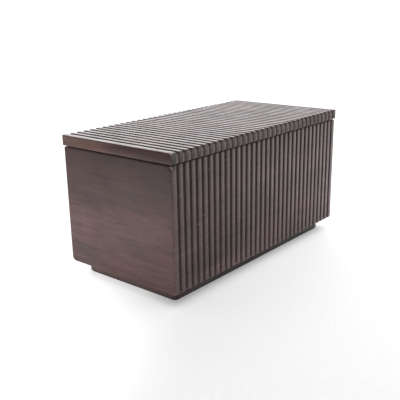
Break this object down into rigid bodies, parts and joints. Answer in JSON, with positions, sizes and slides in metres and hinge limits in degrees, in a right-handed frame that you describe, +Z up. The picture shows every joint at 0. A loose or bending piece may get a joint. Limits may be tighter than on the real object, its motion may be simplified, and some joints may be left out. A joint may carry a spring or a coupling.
{
  "type": "wooden puzzle box",
  "caption": "Low rectangular dark wooden box with ribbed front, back and lid; the lid slides lengthwise on hidden tracks once two loose lock pins are thrown clear.",
  "frame": {"origin": "centre of the underside, where the box rests on the felt under its plinth", "axes": "+X to the right along the length, the way the lid slides open; -Y is the ribbed front; +Z is up"},
  "size_m": [0.2416, 0.1216, 0.122],
  "materials": {
    "dark_stained_wood": "dark brown stain under satin lacquer",
    "plinth_wood": "dark brown stain, satin",
    "inner_wood": "oiled medium brown hardwood",
    "lining_felt": "dark red wool felt",
    "base_felt": "black felt",
    "wear_strip": "matt black fibre strip",
    "brass": "brushed brass",
    "screw_steel": "zinc-plated"
  },
  "bodies": {
    "case": {"front_panel": "dark_stained_wood", "back_panel": "dark_stained_wood", "left_panel": "dark_stained_wood", "right_panel": "dark_stained_wood", "spline_front_left": "inner_wood", "spline_front_right": "inner_wood", "spline_back_left": "inner_wood", "spline_back_right": "inner_wood", "bottom_board": "inner_wood", "plinth_front": "plinth_wood", "plinth_back": "plinth_wood", "plinth_left": "plinth_wood", "plinth_right": "plinth_wood", "base_panel": "inner_wood", "base_felt": "base_felt", "plinth_screws": "screw_steel", "front_guide_rail": "inner_wood", "back_guide_rail": "inner_wood", "front_wear_strip": "wear_strip", "back_wear_strip": "wear_strip", "front_glides": "brass", "back_glides": "brass", "glide_screws": "screw_steel", "partition": "inner_wood", "lock_block": "inner_wood", "lock_block_screws": "screw_steel", "bore_plugs": "inner_wood", "floor_lining": "lining_felt", "front_lining": "lining_felt", "back_lining": "lining_felt", "left_lining": "lining_felt", "right_lining": "lining_felt"},
    "lid": {"lid_panel": "dark_stained_wood", "front_track": "brass", "back_track": "brass", "keeper": "brass", "keeper_screws": "screw_steel"},
    "front_pin": {"front_lock_pin": "brass"},
    "back_pin": {"back_lock_pin": "brass"}
  },
  "joints": [
    {"name": "lid_slide", "type": "slide", "parent": "case", "child": "lid", "axis": [1, 0, 0], "range_m": [0, 0.165]},
    {"name": "front_pin_slide", "type": "slide", "parent": "case", "child": "front_pin", "axis": [0, 1, 0], "range_m": [0, 0.013]},
    {"name": "back_pin_slide", "type": "slide", "parent": "case", "child": "back_pin", "axis": [0, -1, 0], "range_m": [0, 0.013]}
  ]
}
